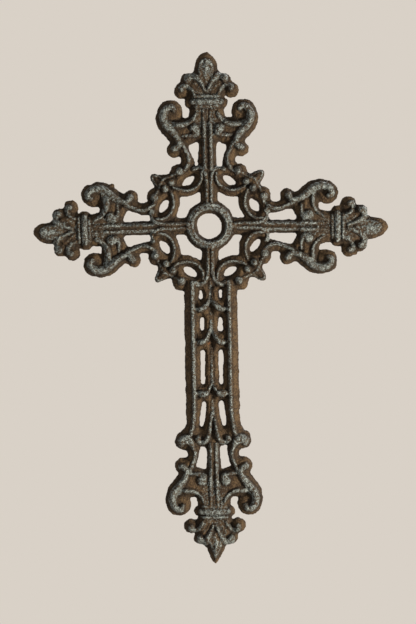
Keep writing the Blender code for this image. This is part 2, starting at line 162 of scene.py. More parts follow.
@dataclass(frozen=True)
class Stroke:
    """A line in the plane of the wall with a half width all along it.

    Attributes:
        path: Points along the line, one row each.
        widths: Half width at each point.
        rises: How far a ridge along the line rises above the plate at each point.
    """

    path: np.ndarray
    widths: np.ndarray
    rises: np.ndarray

    def pieces(self) -> Iterable[tuple[np.ndarray, ...]]:
        """Split the line into straight pieces.

        Returns:
            Both ends of each, and the half width and the rise at each end. A dot is a piece of no length.
        """
        after = slice(1, None) if len(self.path) > 1 else slice(None)
        ends = [(values, values[after]) for values in (self.path, self.widths, self.rises)]
        return zip(*(value for pair in ends for value in pair))


@dataclass(frozen=True)
class ArmFrame:
    """Places points that are given along and across one half of an arm.

    Attributes:
        degrees: Direction of the arm, anticlockwise from the viewer's right.
        side: 1 or -1 for the two halves of the arm.
        start: Distance from the hub's centre at which the drawn motif begins.
        drawn_start: Distance from the hub's centre at which the motif is drawn.
        along: Stretch of the motif along the arm.
        across: Stretch of the motif across the arm, which widens the plate too.
    """

    degrees: float
    side: int = 1
    start: float = 33.5
    drawn_start: float = 33.5
    along: float = 1.0
    across: float = 1.0

    def place(self, points: Sequence[Point]) -> np.ndarray:
        """Turn points along and across the arm into points in the plane of the wall.

        Args:
            points: Distances from the hub's centre along the arm, and across it.

        Returns:
            One row for each point, to the viewer's right and up.
        """
        turn = math.radians(self.degrees)
        outward = np.array([math.cos(turn), math.sin(turn)])
        sideways = self.side * np.array([-outward[1], outward[0]])
        rows = np.asarray(points, float).reshape(-1, 2)
        reach = self.start + self.along * (rows[:, :1] - self.drawn_start)
        return reach * outward + self.across * rows[:, 1:] * sideways


def smooth_stroke(points: np.ndarray, widths: object, rises: object = 0.0) -> Stroke:
    """Run a smooth curve through points, with half widths and rises eased along it.

    Args:
        points: The points to pass through, one row each.
        widths: Half width, for all of them or for each.
        rises: Rise, for all of them or for each.

    Returns:
        The stroke.
    """
    count = len(points)
    rows = np.column_stack([points, np.broadcast_to(widths, count), np.broadcast_to(rises, count)])
    if count > 1:
        before = np.vstack([2 * rows[0] - rows[1], rows[:-1]])
        after = np.vstack([rows[1:], 2 * rows[-1] - rows[-2]])
        slopes = (after - before) / 2
        made = []
        for start, end, leave, arrive in zip(rows[:-1], rows[1:], slopes[:-1], slopes[1:]):
            steps = max(2, round(math.dist(start[:2], end[:2]) / STROKE_STEP))
            for t in np.arange(steps) / steps:
                share = t * t * (3 - 2 * t)
                made.append((1 - share) * start + share * end + t * (1 - t) * ((1 - t) * leave - t * arrive))
        rows = np.array([*made, rows[-1]])
    return Stroke(rows[:, :2], np.maximum(rows[:, 2], THINNEST), np.maximum(rows[:, 3], 0.0))


@dataclass
class Ornament:
    """The drawing of the cross, in the plane of the wall, with the hub's centre at zero.

    Attributes:
        knuckle_reach: Hub centre to the knuckles, where an arm's terminal begins.
        shaft_length: Hub knuckles to the knuckles above the foot.
        ring_bore: Radius of the hole through the hub.
        ring_radius: Radius of the middle of the ring.
        ring_rim: Radius of the plate under the ring.
        ring_ridges: The ridges that make the ring up: distance from its middle, half width and rise of each.
        ring_sides: Number of points that the ring is drawn through.
        rail: Distance of the shaft's rails from its middle.
        slot: Distance of the shaft's slots from its middle.
        slot_width: Half width of a slot.
        arms: The four arms, from the right one on.
        plate: Strokes that make up the plate.
        holes: Strokes that pierce it.
        ridges: Strokes that stand on it.
        dents: Strokes that are dished into it.
        rubs: Strokes along which the plate itself is rubbed.
    """

    knuckle_reach: float = 33.5
    shaft_length: float = 98.2
    ring_bore: float = 7.3
    ring_radius: float = 11.3
    ring_rim: float = 15.6
    ring_ridges: tuple[tuple[float, float, float], ...] = ((-0.9, 1.0, 2.2), (0.3, 1.4, 1.0), (1.6, 1.1, 1.7))
    ring_sides: int = 48
    rail: float = 11.0
    slot: float = 5.5
    slot_width: float = 1.12
    arms: tuple[ArmFit, ...] = (
        ArmFit(
            0, -1.1, 1.016, 0.95, collar=0.8, strut=0.8, spoke_root=0.7, lobes=(0.9, 0.2), tip_lean=-1.0,
            burr=(87.5, 17),
        ),
        ArmFit(90, 0.5, 0.975, 1.02, collar=0.3, rib=5.6, strut=1.2, leaf_turn=48.0),
        ArmFit(180, 1.1, 1.0, 0.95, collar=-0.3, strut=1.5, lobes=(1.3, 0.3), tip_lean=1.3, burr=(58, 28)),
        ArmFit(
            270, 0.1, 1.0, 0.97, neck=-3.4, collar=-1.1, lobes=(0.8, -1.2), tip=Tip.POINTED, tip_lean=0.9,
            on_shaft=True,
        ),
    )
    plate: list[Stroke] = field(default_factory=list)
    holes: list[Stroke] = field(default_factory=list)
    ridges: list[Stroke] = field(default_factory=list)
    dents: list[Stroke] = field(default_factory=list)
    rubs: list[Stroke] = field(default_factory=list)

    def __post_init__(self) -> None:
        """Draw the whole cross: hub, four terminals, and the shaft that carries the lowest of them."""
        self.draw_ring()
        for fit in self.arms:
            for side in (1, -1):
                hub_arm = ArmFrame(fit.square, side, self.knuckle_reach)
                self.draw_hub(hub_arm, fit)
                self.draw_leaf(ArmFrame(fit.square + fit.leaf_turn, side, self.knuckle_reach))
                start = self.knuckle_reach
                if fit.on_shaft:
                    self.draw_shaft(ArmFrame(fit.square + fit.lean, side, start))
                    start += self.shaft_length
                arm = ArmFrame(fit.square + fit.lean, side, start, along=fit.length, across=fit.width)
                self.draw_neck(arm, fit)
                self.draw_scroll(arm, fit)
                self.draw_palmette(arm, fit)

    def lay(self, arm: ArmFrame, points: Sequence[Point], widths: object) -> None:
        """Add a stroke to the plate, by points along and across an arm and a half width for all or each."""
        half = widths.value if isinstance(widths, Edge) else widths
        self.plate.append(smooth_stroke(arm.place(points), arm.across * np.asarray(half)))

    def pierce(self, arm: ArmFrame, points: Sequence[Point], widths: object) -> None:
        """Cut a stroke out of the plate, given as for lay."""
        self.holes.append(smooth_stroke(arm.place(points), arm.across * np.asarray(widths)))

    def ridge(
        self, arm: ArmFrame, points: Sequence[Point], widths: object, rises: object = Depth.ROUND
    ) -> None:
        """Stand a ridge on the plate.

        Args:
            arm: Where the stroke's points are given.
            points: Distances along and across the arm.
            widths: Half width, for all of it or for each point.
            rises: How far it rises, for all of it or for each point.
        """
        half = widths.value if isinstance(widths, Line) else widths
        height = rises.value if isinstance(rises, Depth) else rises
        self.ridges.append(smooth_stroke(arm.place(points), half, height))

    def dish(self, arm: ArmFrame, points: Sequence[Point], widths: object, depth: float) -> None:
        """Dish a stroke into the plate to a depth, given as for lay."""
        self.dents.append(smooth_stroke(arm.place(points), widths, depth))

    def rub(self, arm: ArmFrame, points: Sequence[Point], widths: object) -> None:
        """Rub the plate along a stroke, given as for lay."""
        self.rubs.append(smooth_stroke(arm.place(points), widths, 1.0))

    def draw_ring(self) -> None:
        """Draw the pierced ring in the middle of the hub."""
        turns = np.linspace(0, 2 * math.pi, self.ring_sides + 1)
        circle = np.column_stack([np.cos(turns), np.sin(turns)])
        centre = ArmFrame(0, start=0, drawn_start=0)
        self.lay(centre, self.ring_radius * circle, self.ring_rim - self.ring_radius)
        self.pierce(centre, [(0, 0)], [self.ring_bore])
        for offset, half, rise in self.ring_ridges:
            self.ridge(centre, (self.ring_radius + offset) * circle, half, rise)

    def draw_hub(self, arm: ArmFrame, fit: ArmFit) -> None:
        """Draw an eighth of the hub: half a spoke, an almond loop, and the beads towards the corner.

        Args:
            arm: The half of an arm that the eighth belongs to.
            fit: How that arm differs from its fellows.
        """
        loop = [(32, 3.5), (28.5, 4), (25, 6), (22.5, 9), (21, 13), (21, 18), (22.5, 21.5)]
        self.lay(arm, [(8, 0), (32, 0)], Edge.SPOKE)
        self.lay(arm, loop, Edge.LOOP)
        self.lay(arm, [(30, 4), (29.6, 10), (28.5, 16)], 6.4)
        self.lay(arm, [(32.5, 18.5)], [5.2])
        if fit.on_shaft:
            self.lay(arm, [(34.2, 17.9)], [5.3])
        self.lay(arm, [(27, 22.5), (28, 28)], [4.7, 3.6])
        self.pierce(arm, [(29.6, 9.3), (27.5, 12.3), (25.5, 15.4)], [0.8, 2.0, 0.8])

        spoke = [(13.4, fit.spoke_root), (20, 1.5), (28, 1.5), (31, 1.9), (33.5, 3.0), (35.2, 5)]
        spoke += [(35.6, 7.4), (34.5, 9)]
        rises = [1.0, 1.2, 1.3, 1.5, 2.0, 2.2, 2.4, 2.3]
        self.ridge(arm, spoke, [0.9, 1.2, 1.2, 1.1, 1.2, 1.3, 1.5, 1.5], rises)
        almond = [(32.4, 4.5), (28.6, 4.5), (25.2, 6), (22.7, 9.3), (21.6, 13.3), (22.2, 18), (23.6, 21.6)]
        self.ridge(arm, almond, [0.7, 0.9, 0.9, 0.95, 0.95, 0.9, 0.8], 1.7)
        self.ridge(arm, [(26.5, 22.6)], [2.2], Depth.BOLD)
        self.ridge(arm, [(31.7, 20.2), (29.9, 24.3), (28.6, 27.2), (27.6, 28.3)], Line.FINE, Depth.FINE)
        self.ridge(arm, [(33.3, 17.4)], [2.5], Depth.BOLD)
        self.dish(arm, [(29.4, 9), (27.6, 12.2), (25.6, 15.2)], [3.6, 4.2, 3.6], 1.0)

    def draw_leaf(self, arm: ArmFrame) -> None:
        """Draw half of the small leaf that points out of a corner of the hub.

        Args:
            arm: The corner's direction, as a half of an arm.
        """
        self.lay(arm, [(39.6, 0), (44.7, 0)], [4.2, 2.6])
        self.ridge(arm, [(39.4, 2.8), (43, 2.2), (45.2, 1.1), (45.9, 0)], 0.75, [0.9, 1.3, 1.6, 1.6])
        self.ridge(arm, [(40.5, 0), (43.6, 0)], [1.0, 0.6], Depth.HAIR)

    def draw_neck(self, arm: ArmFrame, fit: ArmFit) -> None:
        """Draw half of an arm's root, neck and collar, with the twin ribs up its middle.

        Args:
            arm: The half of the arm.
            fit: How the arm differs from its fellows.
        """
        shoulder = 59.6 + fit.neck
        self.lay(arm, [(33, 0), (62, 0)], fit.rib)
        self.lay(arm, [(62, 0), (67, 0), (72, 0)], [12.0, 11.0, 10.2])
        self.lay(arm, [(59.6, 0), (59.6, 16)], 7.0)
        self.lay(arm, [(shoulder, 0), (shoulder, 16)], 7.0)
        slant = 2.4 if fit.on_shaft else 3.6
        self.lay(arm, [(shoulder - 2.4, 5), (shoulder - 2.4 - slant, 12)], 4.2)
        collar = 76.0 + fit.collar
        self.lay(arm, [(collar - 0.5, 0), (collar - 0.5, 9.3)], 3.8)

        self.ridge(arm, [(34, 2), (58, 2), (66, 2), (71, 2.2)], [1.15, 1.15, 1.0, 0.8], [1.6, 1.5, 1.1, 0.8])
        for across in (0.0, 4.3, 6.4):
            self.ridge(arm, [(65, across), (71.4, across * 1.06)], Line.HAIR, [0.3, 0.6])
        self.rub(arm, [(58, 3), (67, 3), (88, 3)], [7.0, 9.0, 11.0])
        self.ridge(arm, [(collar - 3.1, 0), (collar - 2.9, 7.6)], Line.FINE, Depth.FINE)
        self.ridge(arm, [(collar, 0), (collar, 8.3)], 1.9, Depth.BOLD)
        self.ridge(arm, [(collar + 3.4, 0), (collar + 3.2, 7.9)], Line.FINE, Depth.ROUND)

    def draw_scroll(self, arm: ArmFrame, fit: ArmFit) -> None:
        """Draw the S-shaped scroll beside the neck, with the strut that carries it and the curl inside.

        Args:
            arm: The half of the arm.
            fit: How the arm differs from its fellows.
        """
        strut = [(50.5, 15), (47, 13.5), (43, 11.7), (39, 11.3), (35.5, 13), (33, 15.5), (32.7, 18)]
        bearer = [(51, 15.5), (46.5, 14.6), (43, 13.1), (39.5, 12.2), (36, 12.7)]
        self.lay(arm, bearer, [4, 3.9, 3.6, 3.8, 4.5])
        self.ridge(arm, strut, Line.MEDIUM, [1.6, 1.8, 2.0, 2.0, 2.0, 2.2, 2.4])

        self.lay(arm, [(46.8, 20), (50, 17.6), (54, 18.2), (58, 21.4), (62.5, 25), (67, 26)], Edge.SCROLL)
        self.lay(arm, [(70, 22)], [7.8])
        rise = [(50, 16.4), (54, 17.8), (58, 20.6), (62.5, 24.5), (67, 26.0)]
        hook = [(70.3, 25.4), (73.0, 23.1), (73.3, 20.6), (71.3, 19.6)]
        self.ridge(arm, rise + hook, [1.6, 1.9, 2.3, 2.6, 2.6, 2.4, 2.1, 1.8, 1.4], Depth.BOLD)
        self.ridge(arm, [(50, 16.4), (48.4, 18), (47.4, 20)], [1.5, 1.9, 2.1], Depth.BOLD)
        inner = [(69, 6.3), (65, 9), (62.3, 14), (62.4, 19.6), (63.3, 23.6)]
        self.ridge(arm, inner, fit.strut * np.array([0.8, 1.1, 1.4, 1.6, 1.6]), [1.6, 1.9, 2.0, 2.1, 2.1])
        out = 56.0 + fit.neck
        curl = [(out + 3.6, 7.5), (out + 0.6, 6.1), (out - 0.6, 9), (out - 0.8, 14.5)]
        self.ridge(arm, curl, [2.9, 1.6, 1.2, 0.9], [2.6, 2.2, 1.9, 1.4])
        self.dish(arm, [(67.8, 21.2)], [4.6], 1.5)
        if fit.on_shaft:
            self.lay(arm, [(46.5, 19.4), (46.3, 16.0)], 5.0)
        if fit.burr and arm.side < 0:
            self.lay(arm, [fit.burr], [1.3])

    def draw_palmette(self, arm: ArmFrame, fit: ArmFit) -> None:
        """Draw half of the five-lobed leaf at an arm's tip.

        Args:
            arm: The half of the arm.
            fit: How the arm differs from its fellows.
        """
        self.lay(arm, [(78, 0), (84, 0), (89, 0)], [9, 12, 10])
        lean = arm.side * fit.tip_lean
        reaches, halves = zip(*fit.tip.value)
        middle = [(reach, lean * share) for reach, share in zip(reaches, (1.0, 0.8, 0.5, 0.3, 0.1))]
        self.lay(arm, middle, halves)
        out, wide = fit.lobes
        wide += 0.6 * lean
        self.lay(arm, [(89.6 + out, 10.4 + wide)], [4.8])
        self.lay(arm, [(83.5, 14.7)], [4.9])

        broad = [half - 3.0 for half in halves]
        self.ridge(arm, [(reach - 1.0, across) for reach, across in middle], broad, [0.5, 1.2, 1.5, 1.6, 1.4])
        self.ridge(arm, [(87, 0), (94, lean * 0.7), (101.5, lean * 0.3)], [0.6, 0.9, 1.2], [0.6, 1.9, 2.3])
        sides = [(91, 3.3)] + [(reach, half - 3.1 + lean * 0.6) for reach, half in fit.tip.value[1:4]]
        self.ridge(arm, sides, 0.75, [1.0, 1.7, 1.9, 1.5])
        second = [(83, 0.9), (87, 2.5), (90.4 + out / 2, 4.7)]
        second += [(92.5 + out, 7.7 + wide), (91.8 + out, 10.6 + wide), (90.0 + out, 11.2 + wide)]
        self.ridge(arm, second, [0.8, 1.1, 1.5, 2.2, 2.5, 2.0], [1.3, 1.9, 2.1, 2.5, 2.5, 2.2])
        first = [(81, 7.3), (84, 9), (86.3, 12), (85.4, 15), (83.7, 14.6)]
        self.ridge(arm, first, [0.9, 1.1, 1.4, 1.6, 1.5], [1.2, 1.8, 2.2, 2.4, 2.2])
        for vein in ([(81.5, 3.0), (85, 4.8), (88.2, 8.0)], [(81.5, 5), (84.3, 7.2), (86.8, 9.8)]):
            self.ridge(arm, vein, Line.HAIR, [0.4, 0.6, 0.4])

    def draw_shaft(self, arm: ArmFrame) -> None:
        """Draw half of the long lower arm: two rails, pierced slots, and a stem that forks again and again.

        Args:
            arm: The half of the arm.
        """
        rail = self.rail
        slot = self.slot
        self.lay(arm, [(34, rail + 0.6), (117, rail + 0.8), (123, 12.7), (127.4, 15.6)], Edge.SCROLL)
        self.lay(arm, [(40, 5), (118, 5)], 5.5)
        self.lay(arm, [(116, 4), (129, 4)], 5.2)
        self.lay(arm, [(128, 9), (130, 14)], 5.0)
        self.lay(arm, [(129.9, 17.9), (130.8, 13.5)], 5.7)

        self.pierce(arm, [(39.6, slot + 0.5), (43.0, slot + 0.5)], self.slot_width * 0.75)
        self.pierce(arm, [(56.2, slot), (62.6, slot)], self.slot_width)
        self.pierce(arm, [(76.4, slot), (95.0, slot)], self.slot_width)
        self.pierce(arm, [(107.4, slot - 0.4), (121.0, slot + 1.5)], self.slot_width)

        self.ridge(arm, [(34, rail), (70, rail), (110, rail + 0.1), (120, 12.1), (126.5, 13.6)], Line.BROAD)
        shoulder = [(134, 12.2), (130.5, 13.6), (128.6, 16.6), (130, 19.6), (132, 19.4)]
        self.ridge(arm, shoulder, [1.2, 1.8, 2.5, 2.3, 1.8], Depth.BOLD)
        for root, crotch, fork in ((34, 45.6, 50.2), (52, 64.3, 70.3)):
            self.ridge(arm, [(root, 0), (crotch - 5, 0), (crotch, 0)], [0.9, 1.1, 1.4], [0.9, 1.4, 1.9])
            branch = [(crotch - 0.6, 0.8), (fork - 2.2, 2.7), (fork, 5.4), (fork + 0.3, 7.6)]
            branch += [(fork, rail - 0.9)]
            self.ridge(arm, branch, [1.2, 1.5, 1.7, 1.5, 0.9], [1.9, 2.0, 2.0, 1.9, 1.2])
        self.ridge(arm, [(74, 0), (84, 0), (97.5, 0)], [0.8, 0.8, 1.0], [0.9, 1.4, 1.8])
        self.ridge(arm, [(96.6, 0.7), (99.6, 2.0), (101.2, 3.6)], [0.9, 1.0, 1.2], 1.9)
        bud = [(101.5, 3.6), (101.7, 5.2), (101.5, 7.2), (101.2, rail - 0.9)]
        self.ridge(arm, bud, [1.6, 2.1, 2.0, 0.8], 2.3)
        self.ridge(arm, [(105, 0), (115, 0)], [0.9, 1.3], [0.7, 1.9])
        curl = [(115, 0.8), (121, 1.6), (126.5, 2.6), (130.2, 4.4), (131.3, 7.2), (129.6, 9.4), (128.2, 8.8)]
        self.ridge(arm, curl, [1.0, 1.0, 1.3, 1.6, 1.7, 1.7, 1.5], [1.6, 1.8, 2.0, 2.3, 2.4, 2.4, 2.2])


@dataclass
class ReliefSheet:
    """The relief over a square grid: how far each spot lies inside the edge, and how high it stands.

    Attributes:
        ornament: The drawing.
        spacing: Distance between the grid's points.
        lip: Upright edge at the back.
        plate: Height of the plate between the ridges.
        flank: Width of the sloping flank round every edge.
        shoulder: Power that rounds the flank off towards the plate.
        corner: Softening of the corners.
        ridge_blur: Softening of the ridges.
        bowl_blur: Softening of what is dished.
        seat: Distance from the edge over which a ridge comes up.
        crown: Shape of a ridge: a half for round, less for one with a flatter top.
        groove: Depth of the crease along the foot of each ridge.
        crease_place: How far from the ridge's foot the crease lies.
        crease_width: Spread of the crease.
        wobble: How far the edge strays from the drawing, as a hand-rammed mould leaves it.
        wander: Size and share of each wave in that.
        seed: Seed of its random draws.
        margin: Room round the drawing.
        verge: Room round a ridge in which its foot is noted.
        edge: Distance outside the outline at each point of the grid, negative inside.
        foot: Distance outside the nearest ridge.
        hump: Height of the ridges over the plate.
        bowl: Depth of what is dished.
        rub: Wear of the plate.
        height: Height above the back.
    """

    ornament: Ornament
    spacing: float = 0.3
    lip: float = 1.4
    plate: float = 6.0
    flank: float = 4.2
    shoulder: float = 1.3
    corner: float = 0.55
    ridge_blur: float = 0.26
    bowl_blur: float = 0.5
    seat: float = 1.2
    crown: float = 0.36
    groove: float = 0.35
    crease_place: float = 0.25
    crease_width: float = 0.45
    wobble: float = 0.17
    wander: tuple[Point, ...] = ((2.2, 1.0), (0.7, 0.6))
    seed: int = 7
    margin: float = 8.0
    verge: float = 2.5

    def __post_init__(self) -> None:
        """Work the relief out at every point of the grid."""
        every = np.vstack([stroke.path for stroke in self.ornament.plate])
        self.low = np.floor(every.min(axis=0) - self.margin)
        size = np.ceil(every.max(axis=0) + self.margin) - self.low
        self.columns, self.rows = (np.ceil(size / self.spacing).astype(int) + 1).tolist()
        shape = (self.rows, self.columns)
        self.edge, holes, self.foot = (np.full(shape, self.margin) for _ in range(3))
        self.hump, self.bowl, self.rub = (np.zeros(shape) for _ in range(3))
        for stroke in self.ornament.plate:
            self.press(stroke, self.edge)
        for stroke in self.ornament.holes:
            self.press(stroke, holes)
        self.edge = self.blur(np.maximum(self.edge, -holes), self.corner) + self.stray()
        for stroke in self.ornament.ridges:
            self.swell(stroke, self.hump, self.crown)
        for stroke in self.ornament.dents:
            self.swell(stroke, self.bowl)
        for stroke in self.ornament.rubs:
            self.swell(stroke, self.rub)
        self.height = self.stand()

    def window(self, piece: tuple[np.ndarray, ...], reach: float) -> tuple[tuple, np.ndarray, np.ndarray]:
        """Find the part of the grid near a piece of a stroke.

        Args:
            piece: The piece.
            reach: How far round it the part goes.

        Returns:
            The rows and columns, and the coordinates of the points there.
        """
        start, end = piece[:2]
        first = np.floor((np.minimum(start, end) - reach - self.low) / self.spacing).astype(int).clip(0)
        last = np.ceil((np.maximum(start, end) + reach - self.low) / self.spacing).astype(int) + 1
        columns = np.arange(first[0], min(last[0], self.columns))
        rows = np.arange(first[1], min(last[1], self.rows))
        spot = (slice(first[1], rows[-1] + 1), slice(first[0], columns[-1] + 1))
        return spot, self.low[0] + self.spacing * columns[None, :], self.low[1] + self.spacing * rows[:, None]

    @staticmethod
    def measure(x: np.ndarray, y: np.ndarray, piece: tuple[np.ndarray, ...]) -> tuple[np.ndarray, ...]:
        """Measure places against a piece of a stroke.

        Args:
            x: Places to the right.
            y: Places up.
            piece: Both ends of the piece, and the half width and the rise at each.

        Returns:
            The distance from the piece's line, and its half width and rise beside each place.
        """
        start, end, width, end_width, rise, end_rise = piece
        along = end - start
        share = ((x - start[0]) * along[0] + (y - start[1]) * along[1]) / max(along @ along, 1e-9)
        share = np.clip(share, 0, 1)
        away = np.hypot(x - start[0] - share * along[0], y - start[1] - share * along[1])
        return away, width + share * (end_width - width), rise + share * (end_rise - rise)

    def press(self, stroke: Stroke, onto: np.ndarray) -> None:
        """Lower a distance field to a stroke's own, so that it is negative inside the stroke.

        Args:
            stroke: The stroke.
            onto: The field, which is changed.
        """
        for piece in stroke.pieces():
            spot, x, y = self.window(piece, max(piece[2:4]) + self.margin)
            away, half, _ = self.measure(x, y, piece)
            onto[spot] = np.minimum(onto[spot], away - half)

    def swell(self, stroke: Stroke, onto: np.ndarray, power: float = 1.0) -> None:
        """Raise a field along a stroke into a rounded swelling.

        Args:
            stroke: The stroke.
            onto: The field, which is changed.
            power: Shape of the swelling: a half for round, one for soft sides.
        """
        for piece in stroke.pieces():
            spot, x, y = self.window(piece, max(piece[2:4]) + self.verge)
            away, half, rise = self.measure(x, y, piece)
            onto[spot] = np.maximum(onto[spot], rise * np.clip(1 - (away / half) ** 2, 0, 1) ** power)
            # A ridge that hardly rises leaves hardly a crease at its foot.
            if onto is self.hump:
                self.foot[spot] = np.minimum(self.foot[spot], away - half + (1 - np.clip(rise, 0, 1)) * 2)

    def blur(self, values: np.ndarray, radius: float) -> np.ndarray:
        """Blur a field.

        Args:
            values: The field.
            radius: Spread of the blur in millimetres.

        Returns:
            The blurred field.
        """
        reach = math.ceil(3 * radius / self.spacing)
        weights = np.exp(-0.5 * (np.arange(-reach, reach + 1) * self.spacing / radius) ** 2)
        weights /= weights.sum()
        for axis in (0, 1):
            padded = np.pad(values, [(reach, reach) if a == axis else (0, 0) for a in (0, 1)], mode="edge")
            values = np.apply_along_axis(np.convolve, axis, padded, weights, "valid")
        return values

    def stray(self) -> np.ndarray:
        """Make the slow wander of the edge.

        Returns:
            How far the edge moves at each point of the grid.
        """
        noise = np.random.default_rng(self.seed).standard_normal((len(self.wander), self.rows, self.columns))
        waves = [(share, self.blur(rough, size)) for rough, (size, share) in zip(noise, self.wander)]
        return self.wobble * sum(share * wave / wave.std() for share, wave in waves)

    def crease(self) -> np.ndarray:
        """Give the crease along the foot of each ridge, from one in its middle to nothing away from it."""
        return np.exp(-(((self.foot - self.crease_place) / self.crease_width) ** 2))

    def stand(self) -> np.ndarray:
        """Add up the heights of flank, plate, dish, crease and ridge.

        Returns:
            The height above the back at each point of the grid.
        """
        inside = np.clip(-self.edge / self.flank, 0, 1)
        base = self.lip + (self.plate - self.lip) * (1 - (1 - inside) ** self.shoulder)
        base = np.maximum(base - self.blur(self.bowl, self.bowl_blur), self.lip)
        crease = self.groove * self.crease() * np.clip(inside * 2, 0, 1)
        crease = np.where(self.hump > 0, 0, crease)
        seated = np.clip(-self.edge / self.seat, 0, 1)
        return base - crease + self.blur(self.hump, self.ridge_blur) * seated

    def sample(self, values: np.ndarray, spots: np.ndarray) -> np.ndarray:
        """Read a field between the grid's points.

        Args:
            values: The field.
            spots: Places in the plane of the wall, one row each.

        Returns:
            The field's value at each place.
        """
        place = (spots - self.low) / self.spacing
        cell = np.floor(place).astype(int)
        cell[:, 0] = cell[:, 0].clip(0, self.columns - 2)
        cell[:, 1] = cell[:, 1].clip(0, self.rows - 2)
        x, y = (place - cell).T
        column, row = cell.T
        below = (1 - x) * values[row, column] + x * values[row, column + 1]
        above = (1 - x) * values[row + 1, column] + x * values[row + 1, column + 1]
        return (1 - y) * below + y * above

    def slope(self, spots: np.ndarray) -> np.ndarray:
        """Find which way the edge field rises.

        Args:
            spots: Places in the plane of the wall.

        Returns:
            The field's slope to the right and up at each place.
        """
        reach = self.spacing
        right, up = np.array([reach, 0.0]), np.array([0.0, reach])
        return np.column_stack([
            self.sample(self.edge, spots + right) - self.sample(self.edge, spots - right),
            self.sample(self.edge, spots + up) - self.sample(self.edge, spots - up),
        ]) / (2 * reach)


def linear_colour(code: str) -> tuple[float, float, float, float]:
    """Turn an sRGB hex value into a linear colour.

    Args:
        code: Six hex digits after a number sign.

    Returns:
        Red, green, blue and alpha for a shader's socket.
    """
    channels = [int(code[start : start + 2], 16) / 255 for start in (1, 3, 5)]
    made = [c / 12.92 if c <= 0.04045 else ((c + 0.055) / 1.055) ** 2.4 for c in channels]
    return made[0], made[1], made[2], 1.0


@contextmanager
def editing() -> Iterator[None]:
    """Work on the active mesh in edit mode, and go back to object mode."""
    bpy.ops.object.mode_set(mode="EDIT")
    yield
    bpy.ops.object.mode_set(mode="OBJECT")


def read_values(
    items: bpy.types.bpy_prop_collection, name: str, width: int = 1, kind: type = float
) -> np.ndarray:
    """Read one value of all points, corners or faces of a mesh.

    Args:
        items: The points, corners or faces.
        name: The value's name.
        width: How many numbers each has.
        kind: Type of the numbers.

    Returns:
        One number for each, or one row where there are more.
    """
    values = np.empty(len(items) * width, kind)
    items.foreach_get(name, values)
    return values.reshape(-1, width) if width > 1 else values


def add_node(
    tree: bpy.types.NodeTree, kind: str, links: dict | None = None, **settings: object
) -> bpy.types.Node:
    """Add a node with its settings and links.

    Args:
        tree: The tree it goes into.
        kind: The node's type.
        links: A value or another node's output for each input, by its name or number.
        settings: The node's own properties.

    Returns:
        The node.
    """
    node = tree.nodes.new(kind)
    for name, value in settings.items():
        setattr(node, name, value)
    for name, value in (links or {}).items():
        if isinstance(value, bpy.types.NodeSocket):
            tree.links.new(value, node.inputs[name])
        else:
            node.inputs[name].default_value = value
    return node


@dataclass(frozen=True)
class ShaderBench:
    """Makes the colours and values of a material.

    Attributes:
        tree: The material's tree.
    """

    tree: bpy.types.NodeTree

    def read(self, name: str) -> bpy.types.NodeSocket:
        """Read one of the mesh's own attributes."""
        return add_node(self.tree, "ShaderNodeAttribute", attribute_name=name).outputs["Fac"]

    def pattern(self, kind: str, size: float, output: str, **values: float) -> bpy.types.NodeSocket:
        """Lay a pattern over the piece.

        Args:
            kind: The type of its node.
            size: Its size in millimetres, where the coordinates are in metres.
            output: The output to use.
            values: The node's other inputs.

        Returns:
            The pattern's value.
        """
        place = add_node(self.tree, "ShaderNodeTexCoord").outputs["Object"]
        scale = 1 / (size * MILLIMETRE)
        return add_node(self.tree, kind, {"Vector": place, "Scale": scale, **values}).outputs[output]

    def noise(self, size: float, detail: float, roughness: float = 0.55) -> bpy.types.NodeSocket:
        """Lay a noise over the piece, with its blotches' size in millimetres."""
        return self.pattern("ShaderNodeTexNoise", size, "Fac", Detail=detail, Roughness=roughness)

    def mix(self, share: object, *colours: object) -> bpy.types.NodeSocket:
        """Mix two colours.

        Args:
            share: How much of the second colour shows.
            colours: Both colours, each in hex digits or from another node.

        Returns:
            The mixed colour.
        """
        first, second = (linear_colour(c) if isinstance(c, str) else c for c in colours)
        parts = {0: share, 6: first, 7: second}
        return add_node(self.tree, "ShaderNodeMix", parts, data_type="RGBA").outputs[2]

    def span(
        self, value: bpy.types.NodeSocket, over: Point = (0.0, 1.0), to: Point = (0.0, 1.0)
    ) -> bpy.types.NodeSocket:
        """Ease a value from one range into another.

        Args:
            value: The value.
            over: The ends of its own range.
            to: What they become.

        Returns:
            The eased value.
        """
        names = ("From Min", "From Max", "To Min", "To Max")
        ends = {"Value": value, **dict(zip(names, (*over, *to)))}
        return add_node(self.tree, "ShaderNodeMapRange", ends, interpolation_type="SMOOTHSTEP").outputs[0]

    def weigh(self, *parts: tuple[bpy.types.NodeSocket, float]) -> bpy.types.NodeSocket:
        """Add values up, each with its own weight.

        Args:
            parts: The values and their weights.

        Returns:
            The sum.
        """
        total = 0.0
        for value, weight in parts:
            terms = {0: value, 1: weight, 2: total}
            total = add_node(self.tree, "ShaderNodeMath", terms, operation="MULTIPLY_ADD").outputs[0]
        return total


